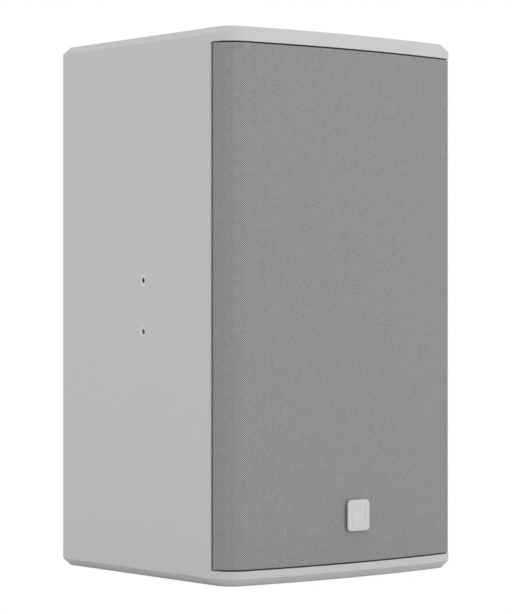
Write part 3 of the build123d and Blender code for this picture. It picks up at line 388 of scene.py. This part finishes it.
def softwood():
    return wood("softwood", (0.70, 0.47, 0.24), (0.52, 0.30, 0.12), 0.006, (1, 1, 0.06)).done()


def wadding():
    """Loose white polyester fibre."""
    finish = Finish("wadding", (0.72, 0.72, 0.70), 0.95, specular=0.2)
    finish.shader.inputs["Sheen Weight"].default_value = 0.3
    fibres = finish.noise(0.0016, detail=6, roughness=0.75, stretch=(1, 0.4, 1), distortion=1.5)
    # Painted shade: the batt is darker where its fibre relief is low, as if shaded in the hollows.
    finish.tint(finish.ramp(fibres, (0.35, (1, 1, 1)), (0.6, (0, 0, 0))), (0.42, 0.42, 0.41), 0.8)
    finish.tint(finish.noise(0.03, detail=3), (0.60, 0.60, 0.57), 0.5)
    finish.bump(fibres, 0.0012)
    finish.bump(finish.noise(0.012, detail=3), 0.002)
    return finish.done()


def metal(name, colour, roughness, grain=0.0006, stretch=(1, 1, 1), stain=0.25):
    """Bare or plated metal: fine directional grain, blotchy brightness and uneven gloss."""
    finish = Finish(name, colour, roughness, metallic=1.0)
    scratches = finish.noise(grain, detail=5, roughness=0.7, stretch=stretch)
    finish.tint(finish.noise(0.008, detail=4), tuple(c * 0.72 for c in colour), stain)
    finish.vary_roughness(scratches, roughness * 0.75, min(1.0, roughness * 1.4))
    finish.bump(scratches, 0.00002)
    return finish


def zinc_steel():
    return metal("zinc_steel", (0.86, 0.86, 0.87), 0.42).done()


def spring_steel():
    return metal("spring_steel", (0.42, 0.42, 0.44), 0.32).done()


def plated_iron():
    """Turned soft iron with a dull yellowish zinc: rings from the lathe round the driver's axis."""
    finish = metal("plated_iron", (0.58, 0.56, 0.50), 0.36, stain=0.4)
    finish.bump(finish.waves(0.0007, "Y", distortion=0.4), 0.00003)
    return finish.done()


def laminated_iron():
    """Stacked transformer sheets, 0.5 mm each, with a little varnish and rust at the edges."""
    finish = metal("laminated_iron", (0.30, 0.30, 0.31), 0.5)
    sheets = finish.waves(0.0005, "Y")
    finish.tint(finish.ramp(sheets, (0.4, (1, 1, 1)), (0.6, (0, 0, 0))), (0.09, 0.08, 0.07), 0.7)
    finish.tint(finish.ramp(finish.noise(0.004, detail=5), (0.60, (0, 0, 0)), (0.75, (1, 1, 1))),
                (0.25, 0.12, 0.05), 0.6)
    finish.bump(sheets, 0.00015)
    return finish.done()


def ferrite():
    """Ground ceramic magnet: dark grey, fine pits and small chips."""
    finish = Finish("ferrite", (0.060, 0.060, 0.064), 0.62)
    pits = finish.cells(0.0016)
    finish.tint(finish.noise(0.01, detail=4), (0.035, 0.035, 0.038), 0.8)
    finish.tint(finish.ramp(pits, (0.05, (1, 1, 1)), (0.2, (0, 0, 0))), (0.11, 0.11, 0.115), 0.4)
    finish.vary_roughness(finish.noise(0.003, detail=4), 0.45, 0.8)
    finish.bump(pits, 0.00008)
    return finish.done()


def plastic(name, colour, roughness=0.5, texture=0.0007, depth=0.00003, specular=0.5):
    """Moulded plastic: spark-eroded texture, mild gloss changes and a trace of dust."""
    finish = Finish(name, colour, roughness, specular=specular)
    grain = finish.noise(texture, detail=3, roughness=0.6)
    finish.tint(finish.noise(0.02, detail=3), tuple(min(1, c * 1.35 + 0.004) for c in colour), 0.35)
    finish.vary_roughness(finish.noise(0.004, detail=4), roughness * 0.85, min(1, roughness * 1.2))
    finish.bump(grain, depth)
    return finish


def black_plastic():
    return plastic("black_plastic", (0.020, 0.020, 0.021), 0.48).done()


def horn_plastic():
    finish = plastic("horn_plastic", (0.018, 0.018, 0.019), 0.42, texture=0.0009, depth=0.00005)
    finish.tint(finish.ramp(finish.noise(0.0005, detail=2), (0.62, (0, 0, 0)), (0.7, (1, 1, 1))),
                (0.07, 0.07, 0.07), 0.4)
    return finish.done()


def switch_plastic():
    return plastic("switch_plastic", (0.035, 0.035, 0.038), 0.4).done()


def knob_plastic():
    return plastic("knob_plastic", (0.022, 0.022, 0.023), 0.38, texture=0.0004).done()


def phenolic():
    finish = plastic("phenolic", (0.16, 0.07, 0.03), 0.45)
    finish.tint(finish.noise(0.0015, detail=5, stretch=(0.3, 1, 1)), (0.24, 0.12, 0.05), 0.6)
    return finish.done()


def nylon_posts():
    finish = plastic("nylon_posts", (0.74, 0.72, 0.66), 0.4)
    finish.shader.inputs["Subsurface Weight"].default_value = 0.15
    finish.shader.inputs["Subsurface Radius"].default_value = (0.002, 0.002, 0.0015)
    return finish.done()


def green_plastic():
    return plastic("green_plastic", (0.03, 0.22, 0.07), 0.42, texture=0.0005).done()


def film_capacitor():
    """Wrapped yellow film with a visible overlap and cast ends."""
    finish = plastic("film_capacitor", (0.72, 0.36, 0.03), 0.28)
    finish.tint(finish.noise(0.01, detail=2, stretch=(3, 0.2, 0.2)), (0.60, 0.26, 0.02), 0.5)
    return finish.done()


def ceramic_resistor():
    finish = plastic("ceramic_resistor", (0.76, 0.75, 0.70), 0.8, texture=0.0005, depth=0.00008)
    finish.tint(finish.ramp(finish.cells(0.0011), (0.0, (1, 1, 1)), (0.12, (0, 0, 0))),
                (0.45, 0.44, 0.40), 0.7)
    return finish.done()


def coil_tape():
    """Amber polyester tape round the coil, with its turns' edges and glue sheen."""
    finish = plastic("coil_tape", (0.62, 0.40, 0.08), 0.3, depth=0.00002)
    turns = finish.waves(0.009, "Z", distortion=0.3)
    finish.tint(finish.ramp(turns, (0.46, (0, 0, 0)), (0.5, (1, 1, 1))), (0.50, 0.30, 0.05), 0.4)
    finish.bump(turns, 0.00012)
    return finish.done()


def circuit_board():
    """Green solder mask over copper tracks."""
    finish = Finish("circuit_board", (0.012, 0.13, 0.05), 0.35)
    tracks = finish.cells(0.009, feature="DISTANCE_TO_EDGE", stretch=(1, 1, 0.6))
    finish.tint(finish.ramp(tracks, (0.04, (0, 0, 0)), (0.06, (1, 1, 1))), (0.02, 0.20, 0.075))
    finish.bump(finish.ramp(tracks, (0.04, (0, 0, 0)), (0.07, (1, 1, 1))), 0.00004)
    finish.vary_roughness(finish.noise(0.003), 0.28, 0.45)
    return finish.done()


def black_rubber():
    finish = plastic("black_rubber", (0.016, 0.016, 0.016), 0.72, texture=0.0009, specular=0.35)
    finish.tint(finish.noise(0.006, detail=5), (0.040, 0.040, 0.039), 0.3)
    return finish.done()


def surround_rubber():
    """Butyl rubber: satin, with mould lines running round and a thin bloom."""
    finish = plastic("surround_rubber", (0.016, 0.016, 0.017), 0.5, texture=0.0006, specular=0.4)
    finish.tint(finish.noise(0.01, detail=4), (0.035, 0.035, 0.034), 0.4)
    return finish.done()


def cone_paper():
    """Pressed paper pulp: felted fibres and a slightly uneven black dye."""
    finish = Finish("cone_paper", (0.030, 0.030, 0.032), 0.8, specular=0.3)
    fibres = finish.noise(0.0012, detail=6, roughness=0.75, distortion=1.2)
    finish.tint(finish.ramp(fibres, (0.5, (0, 0, 0)), (0.7, (1, 1, 1))), (0.085, 0.083, 0.080), 0.6)
    finish.tint(finish.noise(0.02, detail=3), (0.018, 0.018, 0.020), 0.5)
    finish.vary_roughness(fibres, 0.65, 0.92)
    finish.bump(fibres, 0.00022)
    return finish.done()


def cap_paper():
    finish = Finish("cap_paper", (0.024, 0.024, 0.026), 0.62, specular=0.4)
    fibres = finish.noise(0.0010, detail=5, roughness=0.7)
    finish.tint(fibres, (0.050, 0.050, 0.050), 0.6)
    finish.bump(fibres, 0.00012)
    return finish.done()


def spider_cloth():
    """Resin-dipped woven cloth."""
    finish = Finish("spider_cloth", (0.50, 0.30, 0.10), 0.7, specular=0.3)
    weave = finish.value("MULTIPLY", finish.waves(0.0008, "X"), finish.waves(0.0008, "Z"))
    finish.tint(finish.ramp(weave, (0.1, (1, 1, 1)), (0.5, (0, 0, 0))), (0.26, 0.14, 0.04), 0.8)
    finish.tint(finish.noise(0.01, detail=3), (0.40, 0.22, 0.07), 0.5)
    finish.bump(weave, 0.0002)
    return finish.done()


def foil_former():
    return metal("foil_former", (0.80, 0.80, 0.81), 0.25, stretch=(1, 0.2, 1)).done()


def titanium_dome():
    return metal("titanium_dome", (0.50, 0.50, 0.52), 0.30, grain=0.0004).done()


def copper_wire():
    """Enamelled wire, wound in close turns about the Y axis."""
    finish = metal("copper_wire", (0.62, 0.24, 0.08), 0.28, stain=0.3)
    turns = finish.waves(0.0009, "Y", distortion=0.15)
    # Painted shade: darker in the grooves between the turns, where the relief is low.
    finish.tint(finish.ramp(turns, (0.3, (1, 1, 1)), (0.7, (0, 0, 0))), (0.16, 0.05, 0.015), 0.7)
    finish.bump(turns, 0.0003)
    return finish.done()


def tinned_brass():
    return metal("tinned_brass", (0.76, 0.70, 0.52), 0.25).done()


def polymer_film():
    finish = plastic("polymer_film", (0.45, 0.24, 0.04), 0.25, depth=0.00001)
    return finish.done()


def badge_satin():
    """Satin badge: fine sprayed paint on a casting."""
    finish = Finish("badge_satin", (0.80, 0.80, 0.80), 0.38)
    finish.tint(finish.noise(0.0008, detail=3), (0.77, 0.77, 0.77), 0.5)
    finish.vary_roughness(finish.noise(0.003, detail=3), 0.3, 0.46)
    finish.bump(finish.noise(0.0009, detail=2), 0.00002)
    return finish.done()


def black_casting():
    """Black e-coat over a casting: gentle waviness and small bright wear."""
    finish = Finish("black_casting", (0.022, 0.022, 0.024), 0.42)
    finish.tint(finish.noise(0.012, detail=4), (0.040, 0.040, 0.042), 0.5)
    finish.vary_roughness(finish.noise(0.004, detail=4), 0.32, 0.55)
    finish.bump(finish.noise(0.0016, detail=4), 0.00006)
    return finish.done()


def black_screws():
    finish = Finish("black_screws", (0.030, 0.030, 0.032), 0.35, metallic=0.6)
    finish.tint(finish.noise(0.002, detail=4), (0.08, 0.075, 0.07), 0.35)
    finish.vary_roughness(finish.noise(0.0015, detail=3), 0.25, 0.5)
    finish.bump(finish.noise(0.0005, detail=2), 0.00002)
    return finish.done()


def grille_foam():
    """Black open-cell foam."""
    finish = Finish("grille_foam", (0.014, 0.014, 0.014), 0.95, specular=0.15)
    pores = finish.cells(0.0014)
    # Painted shade: the pores stay darker than the ridges between them, following the relief.
    finish.tint(finish.ramp(pores, (0.15, (0, 0, 0)), (0.45, (1, 1, 1))), (0.045, 0.045, 0.045))
    finish.bump(pores, 0.0006)
    return finish.done()


def wire_insulation():
    finish = plastic("wire_insulation", (0.025, 0.025, 0.026), 0.35, texture=0.002)
    finish.tint(finish.noise(0.03, stretch=(1, 1, 0.3)), (0.05, 0.05, 0.05), 0.4)
    return finish.done()


PAINTERS = [cabinet_paint, baffle_paint, birch_ply, softwood, wadding, zinc_steel, grille_paint,
            grille_foam, black_plastic, black_rubber, badge_satin, spring_steel, black_casting,
            plated_iron, ferrite, cone_paper, cap_paper, surround_rubber, spider_cloth,
            foil_former, copper_wire, phenolic, black_screws, horn_plastic, polymer_film,
            titanium_dome, tinned_brass, circuit_board, nylon_posts, film_capacitor,
            ceramic_resistor, laminated_iron, coil_tape, green_plastic, switch_plastic,
            knob_plastic, wire_insulation]
MATERIALS = {painter.__name__: painter() for painter in PAINTERS}


def finish_cad_nodes():
    """Every CAD node takes the material of its own slot in the record."""
    for node, piece in frame["nodes"].items():
        for slot in piece.material_slots:
            slot.material = MATERIALS[SLOT_OF[node]]


finish_cad_nodes()

# ---------------------------------------------------------------- soft pieces
WOOFER_Z, BAFFLE_FRONT = 0.162, -0.1125


def closed_piece(name, vertices, faces, node, sharp=40):
    """A mesh object with outward faces, in the material and slot of the CAD node it stands for."""
    mesh = bpy.data.meshes.new(name)
    mesh.from_pydata(vertices, [], faces)
    work = bmesh.new()
    work.from_mesh(mesh)
    bmesh.ops.recalc_face_normals(work, faces=work.faces)
    work.to_mesh(mesh)
    work.free()
    mesh.shade_smooth()
    mesh.set_sharp_from_angle(angle=math.radians(sharp))
    mesh.materials.append(MATERIALS[SLOT_OF[node]])
    piece = bpy.data.objects.new(name, mesh)
    bpy.context.scene.collection.objects.link(piece)
    return piece


def slab(rows_a, rows_b):
    """Vertices and faces of the closed solid between two grids of points with the same layout."""
    rows, columns = len(rows_a), len(rows_a[0])
    vertices = [point for grid in (rows_a, rows_b) for row in grid for point in row]
    back = rows * columns
    faces = []
    for i in range(rows - 1):
        for j in range(columns - 1):
            a = i * columns + j
            cell = (a, a + 1, a + columns + 1, a + columns)
            faces += [cell, tuple(back + v for v in reversed(cell))]
    rim = ([j for j in range(columns)] + [i * columns + columns - 1 for i in range(1, rows)]
           + [(rows - 1) * columns + j for j in range(columns - 2, -1, -1)]
           + [i * columns for i in range(rows - 2, 0, -1)])
    for a, b in zip(rim, rim[1:] + rim[:1]):
        faces.append((b, a, back + a, back + b))
    return vertices, faces


# Wadding: a cut batt glued to each side board, thick in the middle, thin and ragged at its edges.
PAD_Y, PAD_Z = (-0.0705, 0.119), ((0.070, 0.285), (0.303, 0.5105))
PAD_INSET = (0.0149, 0.0365)
PAD_EDGE = 0.014
STAPLES = ((0.22, 0.2), (0.78, 0.24), (0.5, 0.52), (0.2, 0.8), (0.8, 0.78))


def pad_point(side, y, z, inset):
    x = side_x(y, 0) + inset * math.cos(TAPER)
    return (-side * x, y - inset * math.sin(TAPER), z)


def pad_thickness(across, up, width, height, key):
    """Share of full thickness at a spot on the pad, given in metres from its corner."""
    share = 1.0
    for near in (across, width - across, up, height - up):
        near = max(0.0, min(1.0, near / PAD_EDGE))
        share *= math.sqrt(1 - (1 - near) ** 2)
    spot = Vector((across * 1000, up * 1000, key * 37.0))
    share *= 0.90 + 0.10 * noise.noise(spot / 26) + 0.05 * noise.noise(spot / 9)
    share += 0.02 * noise.noise(spot / 3.2) * min(1.0, share * 3)
    for a, b in STAPLES:
        reach = math.hypot(across - a * width, up - b * height)
        share -= 0.30 * math.exp(-((reach / 0.011) ** 2))
    return max(0.08, min(0.99, share))


def make_pad(side, level):
    name = "wadding_" + ("left_", "right_")[side > 0] + ("lower", "upper")[level]
    (y0, y1), (z0, z1) = PAD_Y, PAD_Z[level]
    columns, rows = 76, 86
    key = 1 + level + (side > 0) * 2
    face, base = [], []
    for i in range(rows + 1):
        face_row, base_row = [], []
        for j in range(columns + 1):
            across, up = (y1 - y0) * j / columns, (z1 - z0) * i / rows
            ragged = 0.0012 * noise.noise(Vector((across * 160, up * 160, key * 11.0)))
            inner_j, inner_i = 0 < j < columns, 0 < i < rows
            y = y0 + across + (0 if inner_j else abs(ragged) * (1 if j == 0 else -1))
            z = z0 + up + (0 if inner_i else abs(ragged) * (1 if i == 0 else -1))
            depth = pad_thickness(across, up, y1 - y0, z1 - z0, key)
            face_row.append(pad_point(side, y, z, PAD_INSET[0] + depth * (PAD_INSET[1] - PAD_INSET[0])))
            base_row.append(pad_point(side, y, z, PAD_INSET[0]))
        face.append(face_row)
        base.append(base_row)
    pad = closed_piece(name, *slab(face, base), "damping_pads")
    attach(pad, "cabinet")
    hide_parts("damping_pads")


# Foam: one layer against the back of the grille, punched for its pegs and the badge's boss.
FOAM_INSET = (0.0023, 0.0051)
FOAM_Z, FOAM_END_Y = (0.018, 0.510), -0.1221
PEG_HOLE_R, BADGE_HOLE_R = 0.0085, 0.011
BADGE_Z = 0.0612
PEG_PLACES = [(side * 0.130, z) for side in (-1, 1) for z in (0.075, 0.290, 0.495)]


def foam_outline(inset):
    """Plan points of the layer at an inset from the cabinet's outline, from left to right."""
    bow = BOW_R - inset
    arc = CORNER_R - inset
    last = math.acos((CORNER.y - FOAM_END_Y) / arc)
    half = [(bow * math.sin(TURN_AT * k / 44), BOW_CENTRE_Y - bow * math.cos(TURN_AT * k / 44))
            for k in range(45)]
    for k in range(1, 15):
        angle = TURN_AT + (last - TURN_AT) * k / 14
        half.append((-CORNER.x + arc * math.sin(angle), CORNER.y - arc * math.cos(angle)))
    return [(-x, y) for x, y in reversed(half[1:])] + half


def punch(piece, spots):
    """Cuts round holes through the layer at (x, z, radius) spots."""
    cutters = []
    for x, z, radius in spots:
        work = bmesh.new()
        bmesh.ops.create_cone(work, cap_ends=True, segments=40, radius1=radius, radius2=radius,
                              depth=0.08)
        mesh = bpy.data.meshes.new("cutter")
        work.to_mesh(mesh)
        work.free()
        cutter = bpy.data.objects.new("cutter", mesh)
        cutter.location, cutter.rotation_euler = (x, APEX_Y + 0.01, z), (math.radians(90), 0, 0)
        bpy.context.scene.collection.objects.link(cutter)
        cut = piece.modifiers.new("cut", "BOOLEAN")
        cut.operation, cut.solver, cut.object = "DIFFERENCE", "EXACT", cutter
        cutters.append(cutter)
    bpy.context.view_layer.update()
    shaped = piece.evaluated_get(bpy.context.evaluated_depsgraph_get())
    mesh = bpy.data.meshes.new_from_object(shaped)
    piece.modifiers.clear()
    piece.data = mesh
    for cutter in cutters:
        bpy.data.objects.remove(cutter, do_unlink=True)


def make_foam():
    rows = 82
    outer, inner = foam_outline(FOAM_INSET[0]), foam_outline(FOAM_INSET[1])
    face, back = [], []
    for i in range(rows + 1):
        z = FOAM_Z[0] + (FOAM_Z[1] - FOAM_Z[0]) * i / rows
        face.append([(x, y, z) for x, y in outer])
        back.append([(x, y - 0.0002 - 0.0002 * noise.noise(Vector((x, y, z)) * 90), z)
                     for x, y in inner])
    foam = closed_piece("foam_layer", *slab(face, back), "grille_foam")
    punch(foam, [(x, z, PEG_HOLE_R) for x, z in PEG_PLACES] + [(0, BADGE_Z, BADGE_HOLE_R)])
    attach(foam, "grille")
    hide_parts("grille_foam")


def turned_ring(name, outline, node, steps=144):
    """A ring from a closed outline of (radius, depth) points in mm, turned about the woofer's axis."""
    vertices, faces, count = [], [], len(outline)
    for step in range(steps):
        angle = math.tau * step / steps
        for radius, depth in outline:
            vertices.append((radius * MM * math.cos(angle), BAFFLE_FRONT + depth * MM,
                             WOOFER_Z + radius * MM * math.sin(angle)))
        for i in range(count):
            j, turn = (i + 1) % count, (step + 1) % steps
            faces.append((step * count + i, step * count + j, turn * count + j, turn * count + i))
    return closed_piece(name, vertices, faces, node, sharp=50)


def flex_with_cone(piece, node):
    """Fixes the ring's placement into its mesh and hides the CAD node it stands for."""
    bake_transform(piece)
    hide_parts(node)


def arc_points(middle, depth, radius, steps=20):
    """A half circle bulging forward, from its inner end to its outer end."""
    return [(middle - radius * math.cos(math.pi * k / steps),
             depth - radius * math.sin(math.pi * k / steps)) for k in range(steps + 1)]


def make_surround():
    outline = [(85, -1.0)] + arc_points(96.8, -4.6, 7.0) + [(103.8, -4.15), (111.4, -4.15), (111.4, -3.05),
              (102.8, -3.05)] + arc_points(96.8, -4.6, 6.0)[::-1] + [(85, 0.05)]
    ring = turned_ring("surround_ring", outline, "woofer_surround")
    flex_with_cone(ring, "woofer_surround")


def spider_wave(depth):
    points = [(32.15, depth)]
    for k in range(8 * 8 + 1):
        rise = -1.8 if (k // 8) % 2 == 0 else 1.8
        points.append((36 + 4.5 * k / 8, depth + rise * math.sin(math.pi * (k % 8) / 8)))
    return points + [(80.35, depth)]


def make_spider():
    ring = turned_ring("spider_ring", spider_wave(57.2) + spider_wave(57.9)[::-1], "woofer_spider")
    flex_with_cone(ring, "woofer_spider")


for side in (-1, 1):
    for level in (0, 1):
        make_pad(side, level)
make_foam()
make_surround()
make_spider()
